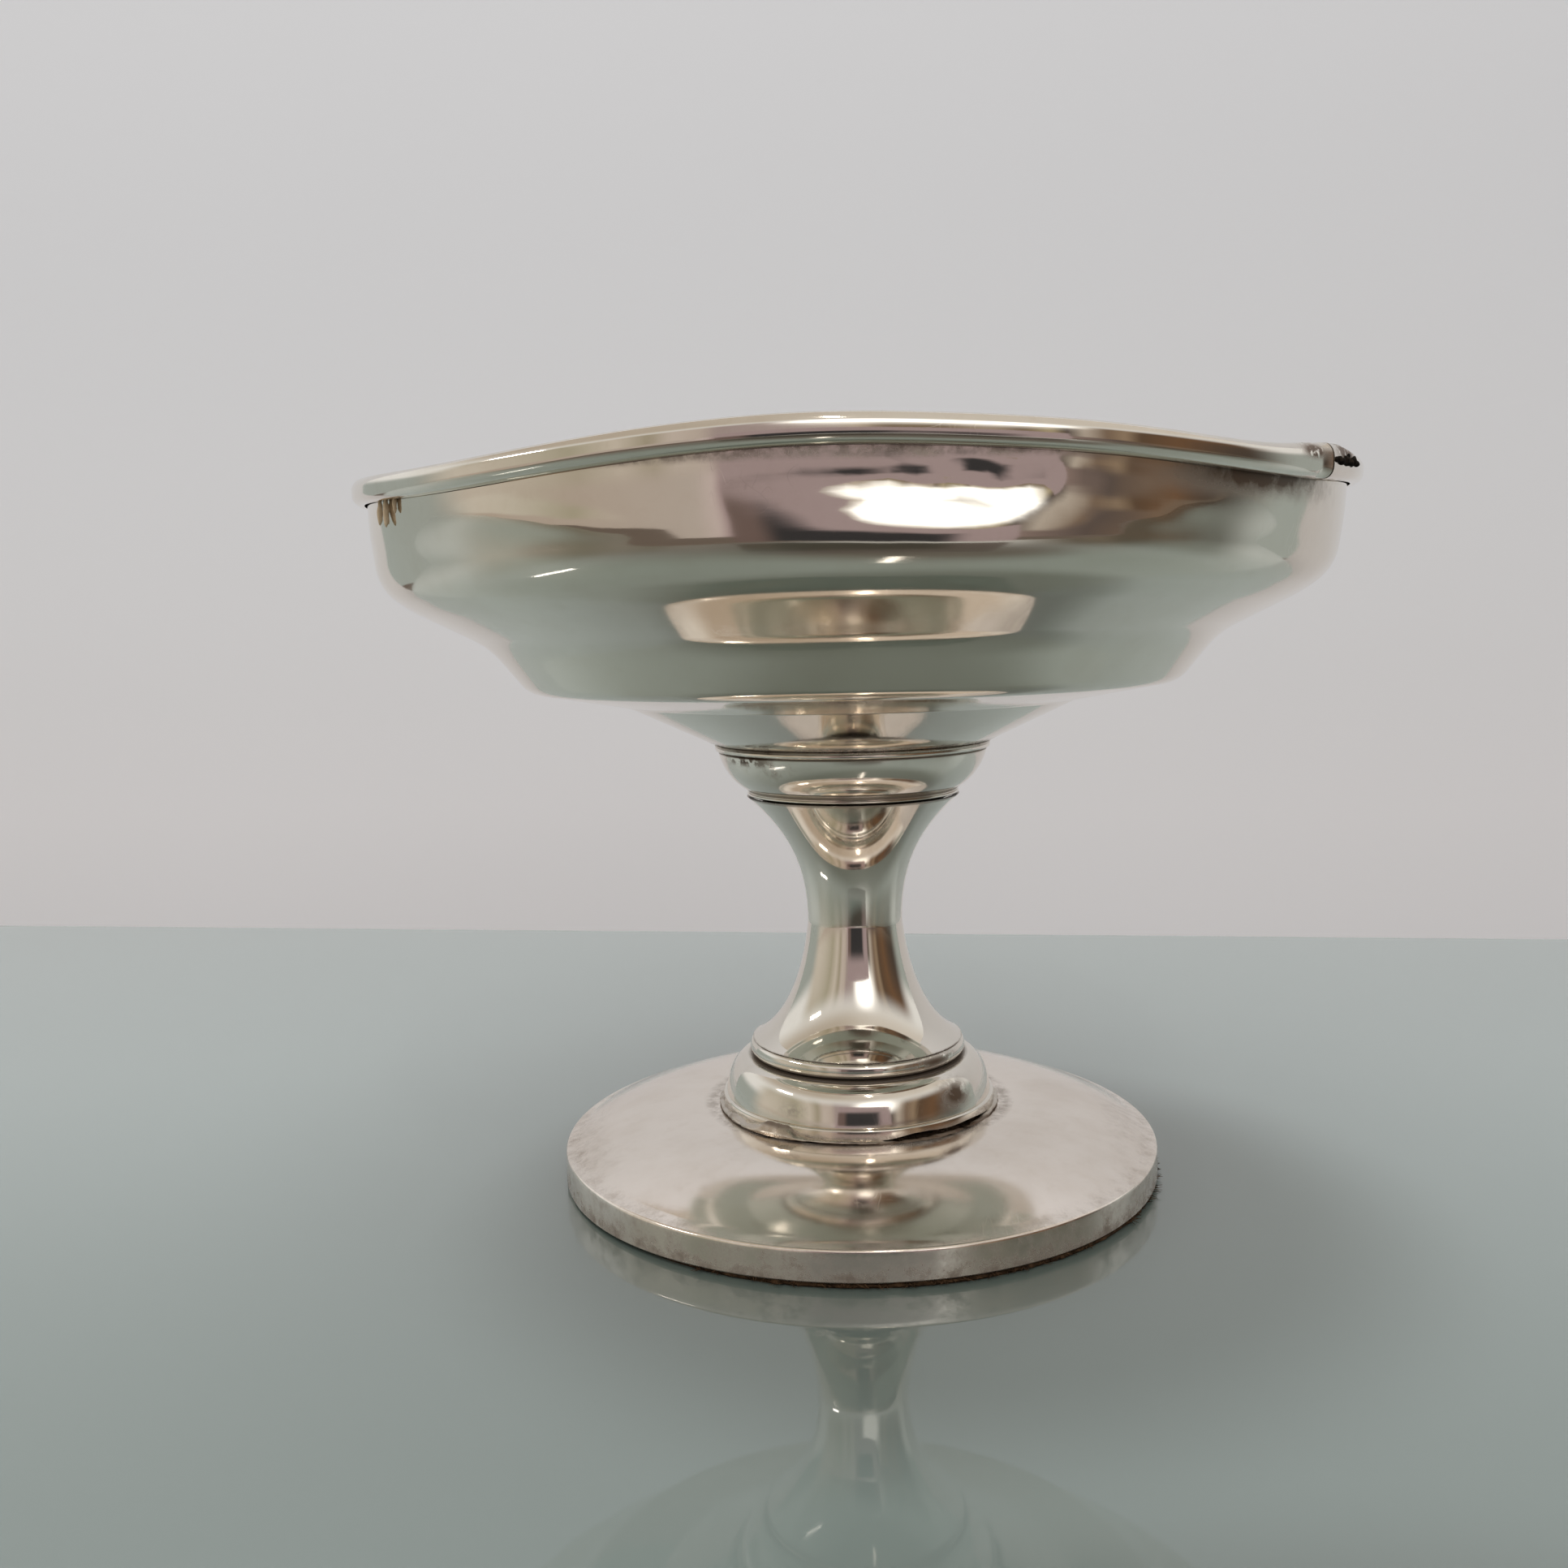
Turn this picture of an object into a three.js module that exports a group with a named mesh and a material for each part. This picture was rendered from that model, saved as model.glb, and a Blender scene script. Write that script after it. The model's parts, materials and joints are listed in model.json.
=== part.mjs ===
// Footed silver compote dish: a spun bowl with an applied rim moulding, carried by a filled
// trumpet stem on a weighted round foot. All lengths are millimetres. The dish stands on
// z = 0 with its axis on +Z, and an outline point is (radius from the axis, height).

import * as THREE from 'three';

// Fits shared by all pieces
const seatGap = 0.3;
const sheetWall = 0.8;
const solderThickness = 0.4;

// Felt pad and closing card under the foot
const feltThickness = 1.5;
const cardThickness = 1.0;

// Foot
const footRadius = 47.5;
const footLift = 0.85;
const skirtHeight = 4.55;
const domeRise = 5.2;
const crownRadius = 26.5;
const skirtRound = 0.9;

// Stem
const stemHeight = 41.1;
const waistHeight = 20.7;
const waistRadius = 7.55;
const beadRootRadius = 16.5;
const beadBulge = 0.8;
const beadHeight = 2.0;
const beadNeck = 0.2;
const stemLipRadius = 16.9;
const lowerFlareCorner = 10.4;
const upperFlareCorner = 12.0;

// Collar between foot and stem
const flangeLedge = 1.7;
const flangeHeight = 1.8;
const flangeRound = 0.7;
const knopBulge = 3.5;
const knopLedge = 1.1;
const knopHeight = 5.8;
const footSpigotHeight = 1.9;
const footSpigotWall = 1.0;

// Collar between stem and bowl
const collarHeight = 6.5;
const collarLedge = 0.1;
const collarFlare = 4.8;
const collarBulge = 0.75;
const collarSpigotHeight = 2.4;
const collarBoreRadius = 8.0;

// Bowl: the corners that its stepped outline turns at, before rounding
const bowlWall = 0.9;
const bowlLedge = 0.1;
const coneRadius = 35.4;
const coneHeight = 6.5;
const lowerBulgeRadius = 50.8;
const lowerBulgeHeight = 9.4;
const creaseRadius = 56.2;
const creaseHeight = 16.0;
const shoulderRadius = 71.0;
const shoulderHeight = 24.0;
const lipRadius = 73.0;
const lipHeight = 38.8;
const floorRound = 1.6;
const coneRound = 5.0;
const lowerBulgeRound = 9.0;
const creaseRound = 14.0;
const shoulderRound = 12.5;

// Rim moulding
const rimWidth = 1.7;
const rimHeight = 3.5;
const rimOverlap = 1.6;
const rimRound = 1.4;
const rimInnerRound = 0.8;

// Solder run round the foot flange
const seamWidth = 1.1;
const seamHeight = 0.7;

// Reinforcing rod
const rodRadius = 2.5;
const rodCover = 1.2;

// Facets round the axis
const wideFacets = 48;
const narrowFacets = 32;
const rodFacets = 16;

// Radii that fit one piece to the next
const footSpigotRadius = beadRootRadius - sheetWall - seatGap;
const footBoreRadius = footSpigotRadius - footSpigotWall;
const knopTopRadius = beadRootRadius + knopLedge;
const knopRadius = knopTopRadius + knopBulge;
const flangeRadius = knopRadius + flangeLedge;
const flareRadius = beadRootRadius - beadNeck;
const collarBottomRadius = stemLipRadius + collarLedge;
const collarTopRadius = collarBottomRadius + collarFlare;
const bowlFloorRadius = collarTopRadius + bowlLedge;

// Levels of the stack, from the table up
const footEdgeLevel = footLift + skirtHeight;
const crownLevel = footEdgeLevel + domeRise;
const footCollarLevel = crownLevel + seatGap;
const knopLevel = footCollarLevel + flangeHeight;
const knopTopLevel = knopLevel + knopHeight;
const solderStep = seatGap + solderThickness + seatGap;
const stemLevel = knopTopLevel + solderStep;
const waistLevel = stemLevel + waistHeight;
const stemTopLevel = stemLevel + stemHeight;
const collarLevel = stemTopLevel + solderStep;
const collarTopLevel = collarLevel + collarHeight;
const bowlLevel = collarTopLevel + solderStep;
const lipLevel = bowlLevel + lipHeight;
const cardLevel = feltThickness + seatGap;
const fillingLevel = cardLevel + cardThickness + seatGap;

// Materials
const silver = new THREE.MeshStandardMaterial({ color: 0xd3cbbd, roughness: 0.16, metalness: 1 });
const dullSilver = new THREE.MeshStandardMaterial({ color: 0xb9b0a1, roughness: 0.38, metalness: 1 });
const solder = new THREE.MeshStandardMaterial({ color: 0x7d766a, roughness: 0.5, metalness: 1 });
const steel = new THREE.MeshStandardMaterial({ color: 0x8a8c8e, roughness: 0.45, metalness: 1 });
const plaster = new THREE.MeshStandardMaterial({ color: 0xb5ab97, roughness: 0.95, metalness: 0 });
const card = new THREE.MeshStandardMaterial({ color: 0x8a7658, roughness: 0.95, metalness: 0 });
const felt = new THREE.MeshStandardMaterial({ color: 0x3b2a1c, roughness: 1, metalness: 0 });

function point(radius, height) {
  return new THREE.Vector2(radius, height);
}

// A closed solid of revolution. The outline either closes on itself or has both ends on the axis.
function turned(name, outline, facets, material) {
  const onAxis = outline[0].x === 0;
  const points = onAxis ? [...outline] : [...outline, outline[0].clone()];
  if (THREE.ShapeUtils.isClockWise(points)) {
    points.reverse();
  }
  const geometry = new THREE.LatheGeometry(points, facets);
  geometry.rotateX(Math.PI / 2);
  const mesh = new THREE.Mesh(geometry, material);
  mesh.name = name;
  return mesh;
}

// The arc that rounds a corner between two straight runs
function roundedCorner(before, corner, after, radius, steps) {
  const back = before.clone().sub(corner).normalize();
  const ahead = after.clone().sub(corner).normalize();
  const halfAngle = Math.acos(THREE.MathUtils.clamp(back.dot(ahead), -1, 1)) / 2;
  const reach = radius / Math.tan(halfAngle);
  const middle = back.clone().add(ahead).normalize();
  const centre = corner.clone().addScaledVector(middle, radius / Math.sin(halfAngle));
  const start = corner.clone().addScaledVector(back, reach).sub(centre);
  const end = corner.clone().addScaledVector(ahead, reach).sub(centre);
  const turn = Math.atan2(start.x * end.y - start.y * end.x, start.dot(end));
  const arc = [];
  for (let step = 0; step <= steps; step += 1) {
    const angle = (turn * step) / steps;
    arc.push(start.clone().rotateAround(point(0, 0), angle).add(centre));
  }
  return arc;
}

// The circular arc between two points that stands off their chord by a bulge, to its right
function bulgedArc(from, to, bulge, steps) {
  const chord = to.clone().sub(from);
  const radius = chord.lengthSq() / (8 * bulge) + bulge / 2;
  const side = point(chord.y, -chord.x).normalize();
  const middle = from.clone().add(to).multiplyScalar(1 / 2);
  const centre = middle.addScaledVector(side, bulge - radius);
  const start = from.clone().sub(centre);
  const end = to.clone().sub(centre);
  const turn = Math.atan2(start.x * end.y - start.y * end.x, start.dot(end));
  const arc = [];
  for (let step = 0; step <= steps; step += 1) {
    arc.push(start.clone().rotateAround(point(0, 0), (turn * step) / steps).add(centre));
  }
  return arc;
}

// A run of the outline moved inwards, to its left, by a wall's thickness
function inset(run, wall) {
  return run.map((here, index) => {
    const before = run[Math.max(index - 1, 0)];
    const after = run[Math.min(index + 1, run.length - 1)];
    const along = after.clone().sub(before).normalize();
    return point(here.x - along.y * wall, here.y + along.x * wall);
  });
}

// The radius of a rising run at a level
function radiusAt(run, level) {
  const index = run.findIndex((here) => here.y > level);
  const low = run[index - 1];
  const high = run[index];
  return low.x + ((high.x - low.x) * (level - low.y)) / (high.y - low.y);
}

// Foot: dome from the flat crown down to the edge, with level tangent at the crown
function domeRun(shrink) {
  const reach = footRadius - skirtRound - shrink - crownRadius;
  const domeRadius = (reach * reach + domeRise * domeRise) / (2 * domeRise);
  const sweep = Math.asin(reach / domeRadius);
  const steps = 7;
  const run = [];
  for (let step = 0; step <= steps; step += 1) {
    const angle = (sweep * step) / steps;
    const drop = domeRadius * (1 - Math.cos(angle));
    run.push(point(crownRadius + domeRadius * Math.sin(angle), crownLevel - shrink - drop));
  }
  return run;
}

function foot() {
  const skirtTop = point(footRadius, footEdgeLevel);
  const roundEnd = point(footRadius, footEdgeLevel - skirtRound);
  const domeOuter = domeRun(0);
  const domeInner = domeRun(sheetWall).reverse();
  const edge = new THREE.QuadraticBezierCurve(domeOuter[domeOuter.length - 1], skirtTop, roundEnd);
  const innerRadius = footRadius - sheetWall;
  const outline = [
    point(footSpigotRadius, crownLevel),
    ...domeOuter,
    ...edge.getPoints(3).slice(1),
    point(footRadius, footLift),
    point(innerRadius, footLift),
    point(innerRadius, footEdgeLevel - skirtRound - sheetWall),
    ...domeInner,
    point(footSpigotRadius, crownLevel - sheetWall),
  ];
  return turned('foot', outline, wideFacets, dullSilver);
}

// The plaster weight follows the foot's hollow, one gap inside its sheet
function footFilling() {
  const shrink = sheetWall + seatGap;
  const skin = domeRun(shrink).reverse();
  const radius = footRadius - shrink;
  const shoulder = footEdgeLevel - skirtRound - shrink;
  const outline = [
    point(rodRadius + seatGap, fillingLevel),
    point(radius, fillingLevel),
    point(radius, shoulder),
    ...skin,
    point(rodRadius + seatGap, crownLevel - shrink),
  ];
  return turned('foot_filling', outline, narrowFacets, plaster);
}

function closingCard() {
  const radius = footRadius - sheetWall - seatGap;
  const outline = [
    point(0, cardLevel),
    point(radius, cardLevel),
    point(radius, cardLevel + cardThickness),
    point(0, cardLevel + cardThickness),
  ];
  return turned('closing_card', outline, wideFacets, card);
}

function feltPad() {
  const radius = footRadius - sheetWall - seatGap;
  const outline = [point(0, 0), point(radius, 0), point(radius, feltThickness), point(0, feltThickness)];
  return turned('felt_pad', outline, wideFacets, felt);
}

// Collar on the foot: a flange, a rounded knop above it and a spigot for the stem
function footCollar() {
  const flangeTop = footCollarLevel + flangeHeight;
  const overhang = knopRadius - knopTopRadius;
  const steps = 6;
  const centreShare = 0.3;
  const centreLevel = knopLevel + knopHeight * centreShare;
  const upperHeight = knopTopLevel - centreLevel;
  const startAngle = -Math.asin((centreLevel - knopLevel) / upperHeight);
  const knop = [];
  for (let step = 0; step <= steps; step += 1) {
    const angle = startAngle + ((Math.PI / 2 - startAngle) * step) / steps;
    const radius = knopTopRadius + overhang * Math.cos(angle);
    knop.push(point(radius, centreLevel + upperHeight * Math.sin(angle)));
  }
  const bottom = point(flangeRadius, footCollarLevel);
  const top = point(flangeRadius, flangeTop);
  const outline = [
    point(footBoreRadius, footCollarLevel),
    bottom,
    ...roundedCorner(bottom, top, point(knopRadius, flangeTop), flangeRound, 3),
    ...knop,
    point(footSpigotRadius, knopTopLevel),
    point(footSpigotRadius, knopTopLevel + footSpigotHeight),
    point(footBoreRadius, knopTopLevel + footSpigotHeight),
  ];
  return turned('foot_collar', outline, narrowFacets, silver);
}

// Solder run out along the joint of flange and foot
function footSeam() {
  const radius = flangeRadius + seatGap;
  const level = crownLevel + seatGap;
  const outline = [
    point(radius, level),
    point(radius + seamWidth, level),
    point(radius, level + seamHeight),
  ];
  return turned('foot_seam_solder', outline, narrowFacets, solder);
}

// A flat solder ring in a joint of the column
function solderRing(name, innerRadius, outerRadius, seatLevel) {
  const level = seatLevel + seatGap;
  const outline = [
    point(innerRadius, level),
    point(outerRadius, level),
    point(outerRadius, level + solderThickness),
    point(innerRadius, level + solderThickness),
  ];
  return turned(name, outline, narrowFacets, solder);
}

// The stem's outside, from the top of its bead up to its lip, as two flares that meet at the waist
function stemRun() {
  const lowerHandleShare = 0.8;
  const upperHandleShare = 0.72;
  const beadTop = point(flareRadius, stemLevel + beadHeight);
  const waist = point(waistRadius, waistLevel);
  const lip = point(stemLipRadius, stemTopLevel);
  const lowerCorner = point(waistRadius, beadTop.y + lowerFlareCorner);
  const upperCorner = point(waistRadius, waistLevel + upperFlareCorner);
  const lower = new THREE.CubicBezierCurve(
    beadTop,
    beadTop.clone().lerp(lowerCorner, lowerHandleShare),
    waist.clone().lerp(lowerCorner, lowerHandleShare),
    waist,
  );
  const upper = new THREE.CubicBezierCurve(
    waist,
    waist.clone().lerp(upperCorner, upperHandleShare),
    lip.clone().lerp(upperCorner, upperHandleShare),
    lip,
  );
  return [...lower.getPoints(7), ...upper.getPoints(7).slice(1)];
}

function stem() {
  const outside = stemRun();
  const inside = inset(outside, sheetWall).reverse();
  inside[0].y = stemTopLevel;
  const socketRadius = footSpigotRadius + seatGap;
  const beadFoot = point(beadRootRadius, stemLevel);
  const bead = bulgedArc(beadFoot, outside[0], beadBulge, 4);
  const outline = [
    point(socketRadius, stemLevel),
    ...bead,
    ...outside.slice(1),
    ...inside.slice(0, -1),
    point(socketRadius, knopTopLevel + footSpigotHeight + seatGap),
  ];
  return turned('stem', outline, narrowFacets, silver);
}

// The spigot of the bowl collar clears the stem's flare at its own bottom end
function collarSpigotRadius() {
  return radiusAt(inset(stemRun(), sheetWall + seatGap), collarLevel - collarSpigotHeight);
}

// The filling fills the column from the foot to the bowl collar, round the rod
function stemFilling() {
  const shrink = sheetWall + seatGap;
  const column = inset(stemRun(), shrink);
  const borePassage = footBoreRadius - seatGap;
  const collarPassage = collarBoreRadius - seatGap;
  const spigotBottom = collarLevel - collarSpigotHeight;
  const body = column.filter((here) => here.x < borePassage && here.y < spigotBottom - seatGap);
  const outline = [
    point(rodRadius + seatGap, crownLevel - sheetWall),
    point(borePassage, crownLevel - sheetWall),
    point(borePassage, knopTopLevel + footSpigotHeight),
    ...body,
    point(collarPassage, spigotBottom - seatGap),
    point(collarPassage, collarTopLevel),
    point(rodRadius + seatGap, collarTopLevel),
  ];
  return turned('stem_filling', outline, narrowFacets, plaster);
}

function reinforcingRod() {
  const bottom = fillingLevel + rodCover;
  const top = collarTopLevel - rodCover;
  const outline = [point(0, bottom), point(rodRadius, bottom), point(rodRadius, top), point(0, top)];
  return turned('reinforcing_rod', outline, rodFacets, steel);
}

// Collar under the bowl: a quarter-round ring with a spigot in the stem's mouth
function bowlCollar() {
  const spigotRadius = collarSpigotRadius();
  const bottom = point(collarBottomRadius, collarLevel);
  const top = point(collarTopRadius, collarTopLevel);
  const outline = [
    point(collarBoreRadius, collarLevel - collarSpigotHeight),
    point(spigotRadius, collarLevel - collarSpigotHeight),
    point(spigotRadius, collarLevel),
    ...bulgedArc(bottom, top, collarBulge, 6),
    point(collarBoreRadius, collarTopLevel),
  ];
  return turned('bowl_collar', outline, narrowFacets, silver);
}

// The bowl's outside, from the middle of its floor to its lip
function bowlRun() {
  const corners = [
    [point(bowlFloorRadius, bowlLevel), floorRound, 2],
    [point(coneRadius, bowlLevel + coneHeight), coneRound, 2],
    [point(lowerBulgeRadius, bowlLevel + lowerBulgeHeight), lowerBulgeRound, 4],
    [point(creaseRadius, bowlLevel + creaseHeight), creaseRound, 3],
    [point(shoulderRadius, bowlLevel + shoulderHeight), shoulderRound, 5],
  ];
  const middle = point(0, bowlLevel);
  const lip = point(lipRadius, lipLevel);
  const run = [middle];
  corners.forEach(([corner, round, steps], index) => {
    const before = index === 0 ? middle : corners[index - 1][0];
    const after = index === corners.length - 1 ? lip : corners[index + 1][0];
    run.push(...roundedCorner(before, corner, after, round, steps));
  });
  run.push(lip);
  return run;
}

function bowl() {
  const outside = bowlRun();
  const inside = inset(outside, bowlWall).reverse();
  inside[0].y = lipLevel;
  inside[inside.length - 1].x = 0;
  return turned('bowl', [...outside, ...inside], wideFacets, silver);
}

// Rim moulding: a rounded wire rebated over the bowl's lip
function rimMoulding() {
  const bottomLevel = lipLevel - rimOverlap;
  const topLevel = bottomLevel + rimHeight;
  const coveredRadius = Math.max(lipRadius, radiusAt(bowlRun(), bottomLevel));
  const rebateRadius = coveredRadius + seatGap;
  const rimRadius = rebateRadius + rimWidth;
  const innerRadius = lipRadius - bowlWall;
  const rebateLevel = lipLevel + seatGap;
  const rebateFoot = point(rebateRadius, bottomLevel);
  const innerFoot = point(innerRadius, rebateLevel);
  const outerBottom = point(rimRadius, bottomLevel);
  const outerTop = point(rimRadius, topLevel);
  const innerTop = point(innerRadius, topLevel);
  const outline = [
    rebateFoot,
    ...roundedCorner(rebateFoot, outerBottom, outerTop, rimRound, 3),
    ...roundedCorner(outerBottom, outerTop, innerTop, rimRound, 3),
    ...roundedCorner(outerTop, innerTop, innerFoot, rimInnerRound, 2),
    innerFoot,
    point(rebateRadius, rebateLevel),
  ];
  return turned('rim_moulding', outline, wideFacets, silver);
}

const dish = new THREE.Group();
dish.add(
  feltPad(),
  closingCard(),
  footFilling(),
  foot(),
  footCollar(),
  footSeam(),
  solderRing('stem_foot_solder', footSpigotRadius + seatGap, flareRadius, knopTopLevel),
  stem(),
  stemFilling(),
  reinforcingRod(),
  solderRing('stem_bowl_solder', collarSpigotRadius() + seatGap, flareRadius, stemTopLevel),
  bowlCollar(),
  solderRing('bowl_solder', collarBoreRadius, collarTopRadius - seatGap, collarTopLevel),
  bowl(),
  rimMoulding(),
);

export default dish;
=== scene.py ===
import math
import random

import bpy
from mathutils import Matrix, Vector
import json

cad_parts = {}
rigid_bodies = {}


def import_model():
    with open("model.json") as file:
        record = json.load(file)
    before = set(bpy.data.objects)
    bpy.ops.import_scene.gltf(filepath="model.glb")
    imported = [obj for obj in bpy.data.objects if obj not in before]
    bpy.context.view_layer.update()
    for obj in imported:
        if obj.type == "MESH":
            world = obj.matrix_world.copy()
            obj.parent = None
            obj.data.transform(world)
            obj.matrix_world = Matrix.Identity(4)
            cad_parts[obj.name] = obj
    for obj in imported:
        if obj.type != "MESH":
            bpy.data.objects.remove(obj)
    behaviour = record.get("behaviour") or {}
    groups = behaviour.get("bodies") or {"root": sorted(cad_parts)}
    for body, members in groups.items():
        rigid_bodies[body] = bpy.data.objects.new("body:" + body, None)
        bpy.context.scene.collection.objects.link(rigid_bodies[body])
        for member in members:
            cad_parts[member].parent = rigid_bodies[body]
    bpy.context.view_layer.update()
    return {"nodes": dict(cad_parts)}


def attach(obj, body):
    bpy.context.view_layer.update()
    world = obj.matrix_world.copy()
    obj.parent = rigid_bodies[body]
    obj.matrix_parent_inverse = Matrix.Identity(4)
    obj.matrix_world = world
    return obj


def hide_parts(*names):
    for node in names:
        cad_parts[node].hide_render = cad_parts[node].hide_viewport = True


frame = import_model()
nodes = frame["nodes"]
mm = 0.001

# The view: close up, a little below the rim's level, so that the rim's underside and the foot's top
# both show. Distances are from the dish's axis and from the table it stands on.
camera_distance = 231 * mm
camera_height = 87.9 * mm
camera_pitch = math.radians(6.33)
camera_yaw = math.radians(-2.72)
camera_roll = math.radians(-1.33)
focal_pixels = 1790
frame_pixels = 1932

bpy.ops.object.camera_add(location=(0, -camera_distance, camera_height))
camera = bpy.context.object
camera.name = "camera"
camera.data.sensor_width = 36
camera.data.lens = camera.data.sensor_width * focal_pixels / frame_pixels
camera.data.clip_start = 5 * mm
camera.rotation_mode = "QUATERNION"
level = Matrix.Rotation(math.pi / 2 - camera_pitch, 3, "X")
camera.rotation_quaternion = (
    Matrix.Rotation(-camera_yaw, 3, "Z") @ level @ Matrix.Rotation(camera_roll, 3, "Z")
).to_quaternion()
bpy.context.scene.camera = camera
bpy.context.scene.view_settings.view_transform = "Standard"

# The table: a pale top with a clear, hard face that mirrors the dish faintly, painted darker towards the
# front and round the foot as painted shade. It ends a little behind the dish and in front of it, and a pale
# wall stands behind it over a darker room floor, painted paler low down as painted light.
table_front = -272 * mm
table_back = 173 * mm
table_half_width = 2600 * mm
table_turn = math.radians(-5.86)
wall_distance = 430 * mm
wall_left = -560 * mm
wall_right = 760 * mm
wall_top = 900 * mm
room_drop = 730 * mm
room_floor_width = 6000 * mm
# Painted shade on the table: darker towards the front, darker still in a strip along the front edge and in a
# deep patch in front of the dish
painted_shadow_deep = (0.055, 0.052, 0.040, 1)
painted_front_shade = (0.068, 0.068, 0.054, 1)
shaded_near_colour = (0.185, 0.238, 0.228, 1)
table_far = (0.297, 0.362, 0.362, 1)
table_shade_middle = (42 * mm, -180 * mm)
table_shade_reach = (105 * mm, 92 * mm)
# A painted contact shadow on the table round the foot, under the bowl
painted_contact_shadow = (0.118, 0.154, 0.140, 1)
contact_shadow_middle = (12 * mm, -20 * mm)
wall_colour = (0.80, 0.83, 0.88, 1)
# Painted light: the wall's lower part is painted paler, to make up for the light falling off towards its
# foot
wall_low_painted_light = (0.91, 0.94, 0.99, 1)
room_floor_colour = (0.19, 0.155, 0.135, 1)
near_shade_fade = (-0.12, 0.06)
front_shade_fade = (-0.215, -0.10)
shade_fade = (0.45, 1.0)
contact_shadow_fade = (0.048, 0.080)
wall_fade = (0.0, 0.3)


class Tone:
    """A shader socket. Arithmetic on it adds Math nodes."""

    def __init__(self, finish, socket):
        self.finish = finish
        self.socket = socket

    def math(self, operation, *terms):
        return self.finish.node("ShaderNodeMath", {"operation": operation}, dict(enumerate(terms)))

    def __add__(self, other):
        return self.math("ADD", self, other)

    def __sub__(self, other):
        return self.math("SUBTRACT", self, other)

    def __rsub__(self, other):
        return self.math("SUBTRACT", other, self)

    def __mul__(self, other):
        return self.math("MULTIPLY", self, other)

    def __truediv__(self, other):
        return self.math("DIVIDE", self, other)

    def __neg__(self):
        return self.math("MULTIPLY", self, -1.0)

    def __pow__(self, other):
        return self.math("POWER", self, other)

    def __abs__(self):
        return self.math("ABSOLUTE", self)


class Finish:
    """A surface in the making: the node tree of a material or of the world, with its shader."""

    def __init__(self, owner, shader, fixed=None):
        self.owner = owner
        owner.use_nodes = True
        self.tree = owner.node_tree
        self.surface = self.tree.nodes[shader]
        for name, value in (fixed or {}).items():
            self.surface.inputs[name].default_value = value

    def node(self, kind, settings=None, sockets=None, out=0):
        made = self.tree.nodes.new(kind)
        for key, value in (settings or {}).items():
            if key == "stops":
                while len(made.color_ramp.elements) < len(value):
                    made.color_ramp.elements.new(1.0)
                for element, (position, colour) in zip(made.color_ramp.elements, value):
                    element.position = position
                    element.color = colour
            else:
                setattr(made, key, value)
        for key, value in (sockets or {}).items():
            if isinstance(value, Tone):
                self.tree.links.new(value.socket, made.inputs[key])
            else:
                made.inputs[key].default_value = value
        return Tone(self, made.outputs[out])

    def feed(self, name, tone):
        self.tree.links.new(tone.socket, self.surface.inputs[name])

    def split(self, vector):
        parts = self.node("ShaderNodeSeparateXYZ", sockets={0: vector})
        return [Tone(self, output) for output in parts.socket.node.outputs]

    def rise(self, tone, low, high):
        """0 below low and 1 above high, with a smooth step between."""
        settings = {"interpolation_type": "SMOOTHSTEP"}
        return self.node("ShaderNodeMapRange", settings, {0: tone, 1: low, 2: high})

    def blend(self, share, first, second):
        """A colour that goes from the first to the second."""
        return self.node("ShaderNodeMix", {"data_type": "RGBA"}, {0: share, 6: first, 7: second}, out=2)

    def noise(self, vector, scale, detail=2.0, rough=0.5):
        sockets = {"Vector": vector, "Scale": scale, "Detail": detail, "Roughness": rough}
        return self.node("ShaderNodeTexNoise", sockets=sockets)


def paint(name, fixed):
    return Finish(bpy.data.materials.new(name), "Principled BSDF", fixed)


def flat_sheet(name, width, depth, centre, turn=(0, 0, 0)):
    bpy.ops.mesh.primitive_plane_add(size=1, location=centre, rotation=turn)
    sheet = bpy.context.object
    sheet.name = name
    sheet.scale = (width, depth, 1)
    bpy.ops.object.transform_apply(location=True, rotation=True, scale=True)
    return sheet


table_depth = table_back - table_front
table_centre = (0, (table_back + table_front) / 2, 0)
table = flat_sheet("table_top", 2 * table_half_width, table_depth, table_centre, (0, 0, table_turn))
clear_face = {"Coat Weight": 1.0, "Coat IOR": 1.75, "Coat Roughness": 0.02}
glass_top = paint("table_top", {"Roughness": 0.4, **clear_face})
spot = glass_top.node("ShaderNodeTexCoord", out="Object")
table_x, table_y, _ = glass_top.split(spot)
aside = (table_x - table_shade_middle[0]) / table_shade_reach[0]
ahead = (table_y - table_shade_middle[1]) / table_shade_reach[1]
from_shade = (aside * aside + ahead * ahead) ** 0.5
# Painted shade: darker towards the front, in the front strip and in the deep patch in front of the dish
top_colour = glass_top.blend(glass_top.rise(table_y, *near_shade_fade), shaded_near_colour, table_far)
top_colour = glass_top.blend(glass_top.rise(table_y, *front_shade_fade), painted_front_shade, top_colour)
top_colour = glass_top.blend(glass_top.rise(from_shade, *shade_fade), painted_shadow_deep, top_colour)
# Painted contact shadow round the foot
aside = table_x - contact_shadow_middle[0]
ahead = table_y - contact_shadow_middle[1]
from_foot = (aside * aside + ahead * ahead) ** 0.5
top_colour = glass_top.blend(glass_top.rise(from_foot, *contact_shadow_fade), painted_contact_shadow, top_colour)
glass_top.feed("Base Color", top_colour)
table.data.materials.append(glass_top.owner)

wall_middle = ((wall_left + wall_right) / 2, wall_distance, (wall_top - room_drop) / 2)
wall_size = (wall_right - wall_left, wall_top + room_drop)
wall = flat_sheet("wall", *wall_size, wall_middle, (math.pi / 2, 0, table_turn))
plain_wall = paint("wall", {"Roughness": 0.9})
spot = plain_wall.node("ShaderNodeTexCoord", out="Object")
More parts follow.
